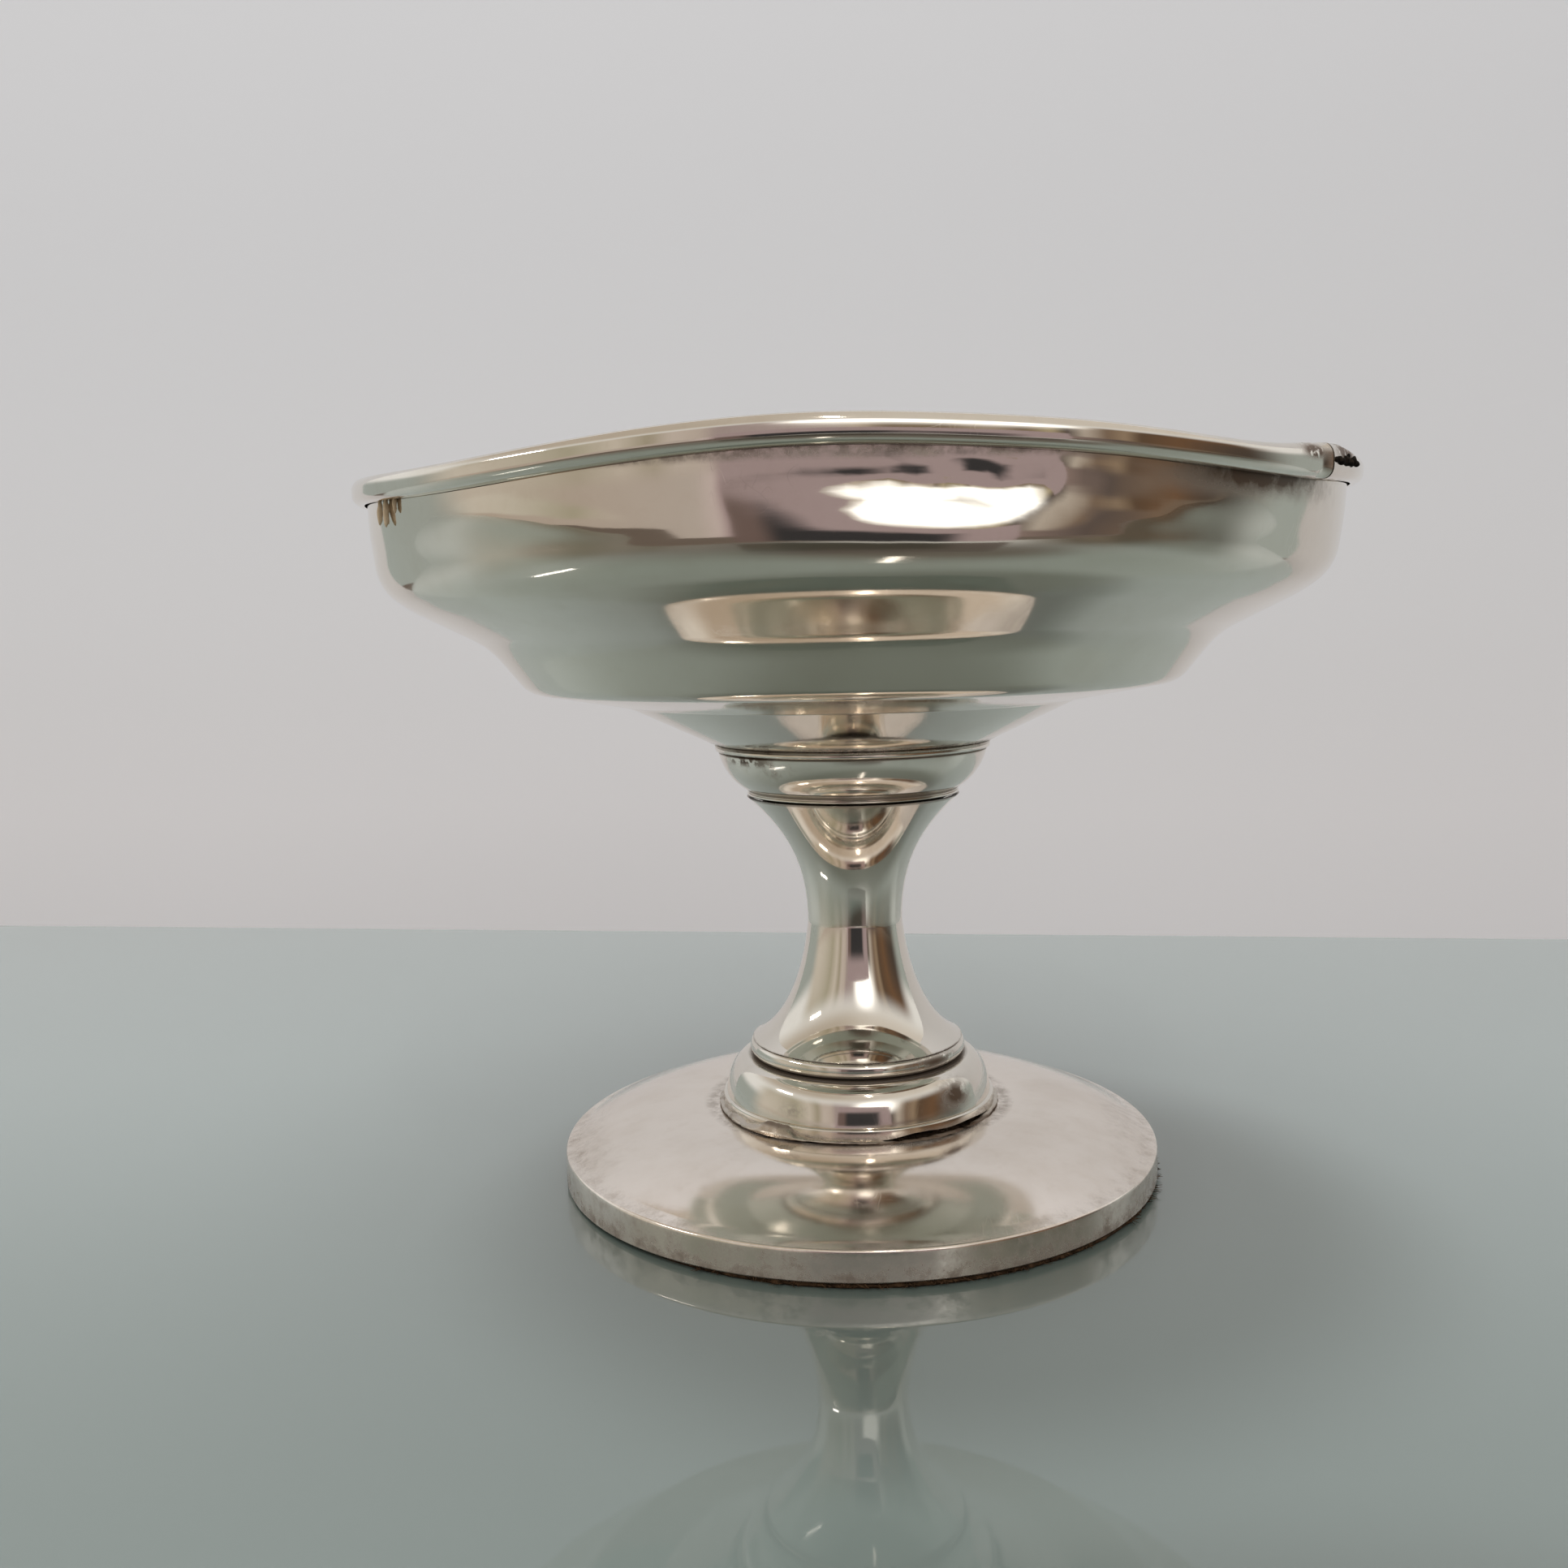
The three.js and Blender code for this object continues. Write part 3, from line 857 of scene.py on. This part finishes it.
def broken(at):
    return min(1, crests(at, broken_places))


def spread(at):
    outward = (at.xy.length - run_radius + run_width) / (2 * run_width)
    return bell(front_angle(at), *spread_place) * max(0, min(1, outward)) * spread_share


shifted(solder_run, "climb", climb, (0, 0, run_climb))
shifted(solder_run, "spread", spread, run_spread)
shifted(solder_run, "broken", broken, (0, 0, -run_sink))
roughed(solder_run, "lumps", lump_size, lump_height)
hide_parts("foot_seam_solder")


def run_dirt(finish, z, radius, angle, mottle):
    left = near(finish, angle, -40.0, 36.0)
    edge = (1 - finish.rise(z, 10.7, 11.1)) * (1 - left)
    crest = left * finish.rise(z, 11.9, 12.4) * 0.8
    return edge * 0.85 + crest + finish.rise(mottle, 0.50, 0.75) * 0.5


solder_finish = silver("run_solder", solder_silver, 0.22, 0.05, 0.0, 0.4, 0.5, run_dirt)
dressed(solder_run, solder_finish)

# Solder in the joints of the column: soft solder that filled the seats when the column was put together.
# It is left as thin rings, black with tarnish, that show as dark grooves.
groove_colours = ((0.028, 0.022, 0.017, 1), (0.12, 0.085, 0.055, 1))
half_metal = {"Metallic": 0.4, "Roughness": 0.6}
groove_crust = (700.0, 5.0, 0.7)
groove = grainy("joint_solder", half_metal, groove_crust, groove_colours, (0.8, 0.1), (0.45, 0.75))
for name in ("stem_foot_solder", "stem_bowl_solder"):
    finished(name, groove)

# Stem: a silver trumpet flared at both ends, spun in one piece with a small bead round its bottom.
# A steel rod stands in its filling.
stem_level = 19.5
bead_root_radius = 16.5
bead_level = 18.8
bead_radius = 17.35
bead_height = 2.4
bead_neck = (16.9, 21.3)
lower_side = (9.8, 24.9)
lower_rise = (8.0, 36.0)
waist_level = 40.2
waist_radius = 7.6
stem_top = 60.6
lip_radius = 16.9
upper_corner = (waist_radius, waist_level + 12.0)
socket_radius = 15.7


def toward(start, end, share):
    return (start[0] + (end[0] - start[0]) * share, start[1] + (end[1] - start[1]) * share)


def walled(run, wall):
    """The run moved inwards, to its left, by the wall's thickness."""
    moved = []
    for index, here in enumerate(run):
        before, after = run[max(index - 1, 0)], run[min(index + 1, len(run) - 1)]
        along = (Vector(after) - Vector(before)).normalized()
        moved.append((here[0] - along.y * wall, here[1] + along.x * wall))
    return moved


def half_round(radius, level, reach, half_height, steps):
    """Half an ellipse that bulges outwards, from its low end to its high one."""
    turns = [math.pi * (step / steps - 0.5) for step in range(steps + 1)]
    return [(radius + reach * math.cos(turn), level + half_height * math.sin(turn)) for turn in turns]


waist = (waist_radius, waist_level)
lip = (lip_radius, stem_top)
lower_flare = bezier(bead_neck, lower_side, lower_rise, waist, 48)
upper_flare = bezier(waist, toward(waist, upper_corner, 0.72), toward(lip, upper_corner, 0.72), lip, 44)
flares = [*lower_flare, *upper_flare[1:]]
flares_inside = walled(flares, sheet_wall)
flares_inside[-1] = (flares_inside[-1][0], stem_top)
bead_middle = bead_level + bead_height / 2
bead = half_round(bead_root_radius, bead_middle, bead_radius - bead_root_radius, bead_height / 2, 14)
stem_outline = [
    (socket_radius, stem_level),
    (bead_root_radius, stem_level),
    *bead,
    *flares,
    *reversed(flares_inside[4::4]),
    (socket_radius, spigot_top + 0.3),
]
stem = spun("stem_trumpet", stem_outline, 256)
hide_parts("stem")


def stem_dirt(finish, z, radius, angle, mottle):
    under = near(finish, z, 18.8, 0.8)
    above = near(finish, z, 21.2, 0.25) * 0.8
    patch = near(finish, angle, 44.0, 26.0) * near(finish, z, 20.2, 1.4) * finish.rise(mottle, 0.38, 0.52)
    lip_edge = near(finish, z, 60.5, 0.4) * 0.6
    return under * 0.9 + above * finish.rise(mottle, 0.3, 0.6) + patch + lip_edge


stem_silver = silver("stem_silver", bright_silver, 0.035, 0.02, 0.35, 1.0, 0.12, stem_dirt)
dressed(stem, stem_silver)

rod_light = (0.42, 0.43, 0.44, 1)
rod_dark = (0.26, 0.26, 0.27, 1)
drawn_steel = paint("drawn_steel", {"Metallic": 1.0, "Roughness": 0.42})
spot = drawn_steel.node("ShaderNodeTexCoord", out="Object")
drawn = drawn_steel.node("ShaderNodeMapping", None, {0: spot, 3: (1.0, 1.0, 0.04)})
streaks = drawn_steel.noise(drawn, 1500.0, 3.0)
drawn_steel.feed("Base Color", drawn_steel.blend(streaks, rod_dark, rod_light))
finished("reinforcing_rod", drawn_steel)

# Bowl collar: a turned quarter-round silver ring between stem and bowl, with a thin fillet round its top
# and brown tarnish in the line under it, blackest at the left. A thin seam of solder joins it to the bowl.
bowl_collar_level = 61.6
bowl_collar_top = 68.75
collar_low_radius = 17.0
hem_radius = 16.55
hem_level = 60.85
hem_height = 0.45
hem_reach = 0.3
collar_high_radius = 21.8
collar_bulge = 0.75
collar_bore = 8.0
collar_spigot = 13.9
collar_spigot_level = 59.2
fillet_height = 0.75
fillet_reach = 0.35
fillet_groove = 0.3


def bulged(start, end, bulge, steps):
    """The arc from start to end that stands off their chord by a bulge, to its right."""
    start, end = Vector(start), Vector(end)
    chord = end - start
    radius = chord.length_squared / (8 * bulge) + bulge / 2
    side = Vector((chord.y, -chord.x)).normalized()
    centre = (start + end) / 2 + side * (bulge - radius)
    first, last = start - centre, end - centre
    turn = math.atan2(first.x * last.y - first.y * last.x, first.dot(last))
    return [tuple(Matrix.Rotation(turn * step / steps, 2) @ first + centre) for step in range(steps + 1)]


groove_level = bowl_collar_top - fillet_height - fillet_groove
quarter_low = (collar_low_radius, bowl_collar_level + 0.25)
quarter_high = (collar_high_radius - 0.55, groove_level)
quarter_round = bulged(quarter_low, quarter_high, collar_bulge, 26)
fillet_middle = bowl_collar_top - fillet_height / 2
fillet_root = collar_high_radius - fillet_reach
fillet = half_round(fillet_root, fillet_middle, fillet_reach, fillet_height / 2, 10)
hem = half_round(hem_radius, hem_level + hem_height / 2, hem_reach, hem_height / 2, 8)
bowl_collar_outline = [
    (collar_bore, collar_spigot_level),
    (collar_spigot, collar_spigot_level),
    (collar_spigot, bowl_collar_level),
    (hem_radius - 0.12, bowl_collar_level),
    (hem_radius - 0.12, hem_level),
    *hem,
    (hem_radius, hem_level + hem_height + 0.12),
    (collar_low_radius - 0.25, bowl_collar_level),
    *quarter_round,
    (collar_high_radius - 0.75, groove_level + fillet_groove * 0.5),
    *fillet,
    (collar_bore, bowl_collar_top),
]
bowl_collar = spun("bowl_collar_ring", bowl_collar_outline, 256)
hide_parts("bowl_collar")

seam_radius = 21.5
seam_level = 68.85
seam_size = 0.34
seam_lump_height = 0.16
bowl_seam = spun("bowl_seam", wire(seam_radius, seam_level, seam_size, seam_size * 0.7, 10), 256)
roughed(bowl_seam, "seam", lump_size, seam_lump_height)
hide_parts("bowl_solder")
dressed(bowl_seam, solder_finish)


def bowl_collar_dirt(finish, z, radius, angle, mottle):
    line = near(finish, z, groove_level + 0.15, 0.42)
    left = near(finish, angle, -50.0, 24.0)
    spots = left * near(finish, z, 67.3, 1.2) * finish.rise(mottle, 0.44, 0.54)
    smear = near(finish, angle, -36.0, 20.0) * near(finish, z, 66.0, 2.0)
    smear = smear * finish.rise(mottle, 0.42, 0.75) * 0.5
    return line * (left * 0.5 + 0.45) + spots + smear + near(finish, z, 61.7, 0.5) * 0.7


ring_silver = silver("ring_silver", bright_silver, 0.06, 0.02, 0.5, 0.6, 0.22, bowl_collar_dirt)
dressed(bowl_collar, ring_silver)

# Bowl: spun from one silver disc in two soft steps. The wall behind the rim has been knocked: it is
# dented at the front, and the lip sags to the left and right of the dent.
bowl_wall = 0.9
bowl_level = 69.1
lip_top = 107.9
bowl_lip_radius = 73.0
bowl_corners = [
    ((21.9, bowl_level), 1.6, 6),
    ((35.4, 75.5), 3.0, 8),
    ((50.4, 78.2), 4.2, 12),
    ((56.0, 85.2), 13.0, 12),
    ((67.0, 90.9), 22.0, 8),
    ((71.6, 94.25), 7.7, 20),
    ((72.72, 102.5), 60.0, 10),
]
bowl_silver = (0.83, 0.785, 0.705, 1)
# Each knock: angle round the axis, height, its reach in degrees and in height, how far in, and how much
# of it is left above that height
knocks = [
    (9, 103.0, 11, 4.0, 1.9, 0.93),
    (-37, 102.8, 4.5, 1.3, -0.22, 0.0),
    (-32, 101.6, 4.5, 1.3, -0.26, 0.0),
    (-27, 100.3, 4.5, 1.3, -0.26, 0.0),
    (-22, 99.0, 4.5, 1.3, -0.20, 0.0),
    (28.5, 99.6, 3.5, 1.6, -0.24, 0.0),
    (33, 101.6, 3.5, 1.6, -0.24, 0.0),
    (-50, 97.0, 20, 4.6, 0.9, 0.0),
    (50, 97.0, 13, 4.6, 0.7, 0.0),
    (-90, 108, 30, 8.0, 0.9, 0.0),
]
# Each sag of the lip: angle, its reach in degrees and how far down. The wall under it gives evenly.
sags = [(-44, 24, 1.9), (47, 24, 2.4), (0, 22, -0.9), (90, 34, 0.4)]
sag_start = 84
# A knock ends at this many times its reach in height
knock_end = 2.6
# The front has been pushed in
press_angle = 2
press_reach = 28
press_depth = 2.6
press_low = 83
press_high = 94
crumple_place = (9, 12)
crumple_level = (102.8, 3.6)
crumple_size = 3.2
crumple_depth = 0.8


def past(at, angle):
    """Degrees round the axis past an angle, from -180 to 180."""
    return (front_angle(at) - angle + 180) % 360 - 180


def knock(piece, angle, height, wide, tall, inward, held):
    turn = math.radians(angle)

    def share_of(at):
        if abs(at.z - height) > knock_end * tall:
            return 0
        level = bell(at.z, height, tall)
        return bell(past(at, angle), 0, wide) * (max(level, held) if at.z > height else level)

    push = (-inward * math.sin(turn), inward * math.cos(turn), 0)
    shifted(piece, "knock", share_of, push)


def sagged(piece):
    def share_of(at, angle, wide):
        up = max(0, min(1, (at.z - sag_start) / (lip_top - sag_start)))
        return bell(past(at, angle), 0, wide) * up

    for angle, wide, down in sags:
        shifted(piece, "sag", lambda at: share_of(at, angle, wide), (0, 0, -down))


def pressed(piece):
    def share_of(at):
        up = max(0, min(1, (at.z - press_low) / (press_high - press_low)))
        return bell(front_angle(at), press_angle, press_reach) * up * up * (3 - 2 * up)

    shifted(piece, "press", share_of, (0, press_depth, 0))


def bowl_run():
    middle = (0, bowl_level)
    lip_end = (bowl_lip_radius, lip_top)
    run = [middle]
    for index, (corner, radius, steps) in enumerate(bowl_corners):
        before = bowl_corners[index - 1][0] if index else middle
        after = bowl_corners[index + 1][0] if index + 1 < len(bowl_corners) else lip_end
        arc = corner_arc(before, corner, after, radius, steps)
        run.extend(straight(run[-1], arc[0], 5)[1:])
        run.extend(arc)
    run.extend(straight(run[-1], lip_end, 18)[1:])
    run.append(lip_end)
    return run


outside = bowl_run()
inside = walled(outside, bowl_wall)
inside[-1] = (inside[-1][0], lip_top)
inside[0] = (0, bowl_level + bowl_wall)
bowl = spun("bowl_shell", [*outside, *reversed(inside[::2])], 288)
for blow in knocks:
    knock(bowl, *blow)
pressed(bowl)
sagged(bowl)


def crumpled(at):
    return bell(front_angle(at), *crumple_place) * bell(at.z, *crumple_level)


roughed(bowl, "crumple", crumple_size, crumple_depth, crumpled)
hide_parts("bowl")


def bowl_dirt_and_shade(finish, z, radius, angle, mottle):
    # Painted shadow: a mottled dark band under the rim, where the rim shades the wall
    painted_rim_shadow = finish.rise(z, 105.3, 106.3) * finish.rise(mottle, 0.2, 0.8) * 0.7
    foot_line = near(finish, z, 69.3, 0.8) * finish.rise(mottle, 0.35, 0.6)
    crease_spot = near(finish, z, 77.6, 1.0) * near(finish, angle, 78.0, 12.0)
    crease_spot = crease_spot * finish.rise(mottle, 0.4, 0.6)
    # Brown dirt by the wire's joint, with painted shade on the wall under the wire
    right = near(finish, angle, 46.0, 20.0) * near(finish, z, 104.5, 4.5)
    right = right * finish.rise(mottle, 0.25, 0.85) * 0.9
    # Painted shade: a dark band on the wall right under the wire, at the right
    painted_wire_shade = near(finish, angle, 42.0, 18.0) * near(finish, z, 103.8, 3.0)
    painted_wire_shade = painted_wire_shade * finish.rise(mottle, -0.6, 0.5)
    return painted_rim_shadow + foot_line * 0.7 + crease_spot * 0.7 + right + painted_wire_shade * 0.9


bowl_finish = silver("bowl_silver", bowl_silver, 0.04, 0.06, 0.5, 0.8, 0.14, bowl_dirt_and_shade)
dressed(bowl, bowl_finish)

# Rim moulding: drawn silver wire, bent round and soldered over the lip. Its ends meet in an open butt
# joint at the right, black with dirt, and it follows the lip's knocks.
rim_low = 106.3
rim_top = 109.8
rim_radius = 75.0
rim_round = 1.4
rim_inner_round = 0.8
rebate_radius = 73.3
rebate_level = 108.2
rim_inner_radius = 72.1
joint_angle = 52.0
joint_gap = 0.5
joint_fade = 16.0
end_push = (0.6, -0.3, 0)
thick_angle = joint_angle + 1
thick_reach = 9
thick_rise = 1.1
thick_start = 0.3
thick_height = 3.2
crust_places = [(joint_angle + 4, 2.6, 0.6), (joint_angle - 3, 1.6, 0.4)]
crust_size = 1.1
crust_depth = 0.6

rim_foot = (rebate_radius, rim_low)
outer_low = (rim_radius, rim_low)
outer_high = (rim_radius, rim_top)
inner_high = (rim_inner_radius, rim_top)
inner_low = (rim_inner_radius, rebate_level)
rim_outline = [
    rim_foot,
    *corner_arc(rim_foot, outer_low, outer_high, rim_round, 10),
    *corner_arc(outer_low, outer_high, inner_high, rim_round, 10),
    *corner_arc(outer_high, inner_high, inner_low, rim_inner_round, 6),
    inner_low,
    (rebate_radius, rebate_level),
]
rim = spun("rim_wire", rim_outline, 420, joint_gap / rim_radius)
rim.rotation_euler.z = math.radians(joint_angle - 90)
bpy.ops.object.transform_apply(location=True, rotation=True, scale=True)


def thick_end(at):
    up = max(0, min(1, (at.z - rim_low - thick_start) / thick_height))
    return bell(front_angle(at), thick_angle, thick_reach) * up


shifted(rim, "thick_end", thick_end, (0, 0, thick_rise))
for blow in knocks:
    knock(rim, *blow)
pressed(rim)
sagged(rim)


def raised_end(at):
    beyond = front_angle(at) - joint_angle
    return 1 - beyond / joint_fade if 0 <= beyond < joint_fade else 0


def crusted(at):
    return crests(at, crust_places)


shifted(rim, "raised_end", raised_end, end_push)
roughed(rim, "crust", crust_size, crust_depth, crusted)
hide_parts("rim_moulding")


def rim_dirt(finish, z, radius, angle, mottle):
    spot = finish.node("ShaderNodeTexCoord", out="Object")
    crust = finish.rise(finish.noise(spot, 900.0, 3.0, 0.6), 0.36, 0.44)
    right_end = near(finish, angle, joint_angle + 5.0, 4.6) * near(finish, z, 107.6, 1.6) * crust
    left_end = near(finish, angle, joint_angle - 2.6, 3.4) * near(finish, z, 107.2, 1.4) * crust
    cut = near(finish, angle, joint_angle, 0.6) * 0.2
    return right_end * 2.0 + left_end * 1.6 + cut


rim_silver = silver("rim_silver", bright_silver, 0.05, 0.03, 0.3, 0.6, 0.20, rim_dirt)
dressed(rim, rim_silver)

# Residue: tan polishing paste that has dried in short drips under the rim at the left, and a crust of
# black dirt that has built up on the wire's right end, beside its joint.
drips = [
    (-57.6, 103.7, 0.34, 1.8),
    (-55.3, 103.4, 0.40, 2.0),
    (-52.6, 104.1, 0.26, 1.1),
]
paste_radius = 73.0
paste_tans = ((0.56, 0.42, 0.27, 1), (0.82, 0.68, 0.48, 1))

crusts = [
    (53.6, 106.5, 0.45, 0.40),
    (54.6, 106.3, 0.55, 0.45),
    (55.8, 106.6, 0.50, 0.50),
    (57.0, 106.3, 0.55, 0.45),
    (58.2, 106.6, 0.50, 0.50),
    (59.4, 106.4, 0.50, 0.40),
    (56.4, 107.1, 0.26, 0.30),
    (58.6, 107.1, 0.24, 0.28),
]
crust_radius = 75.65
crust_colours = ((0.012, 0.010, 0.008, 1), (0.070, 0.048, 0.032, 1))
lump_depth = 0.45
lump_lean = math.radians(8)
crumb_size = 0.9
crumb_height = 0.35


def lumps(name, places, radius):
    """Lumps stuck on at a given radius. Each has its angle, height, half width and half length."""
    lump_names = []
    for angle, level, width, length in places:
        turn = math.radians(angle)
        place = (radius * math.sin(turn) * mm, -radius * math.cos(turn) * mm, level * mm)
        bpy.ops.mesh.primitive_uv_sphere_add(segments=20, ring_count=14, radius=mm, location=place)
        bpy.context.object.scale = (width, min(width, lump_depth), length)
        bpy.context.object.rotation_euler = (0, lump_lean, turn)
        lump_names.append(bpy.context.object.name)
    for lump_name in lump_names:
        bpy.data.objects[lump_name].select_set(True)
    bpy.ops.object.join()
    bpy.ops.object.transform_apply(location=True, rotation=True, scale=True)
    joined = bpy.context.object
    joined.name = name
    bpy.ops.object.shade_smooth()
    roughed(joined, name, crumb_size, crumb_height)
    return joined


residue = lumps("dried_paste", drips, paste_radius)
joint_crust = lumps("joint_crust", crusts, crust_radius)

crumbs = (0.7, 0.1)
dull_dirt = {"Roughness": 0.9, "Specular IOR Level": 0.1}
dirt = grainy("black_dirt", dull_dirt, (1400.0, 4.0, 0.6), crust_colours, crumbs, (0.5, 0.8))
dressed(joint_crust, dirt)
paste = grainy("dried_paste", {"Roughness": 0.85}, (1600.0, 4.0, 0.6), paste_tans, crumbs)
dressed(residue, paste)
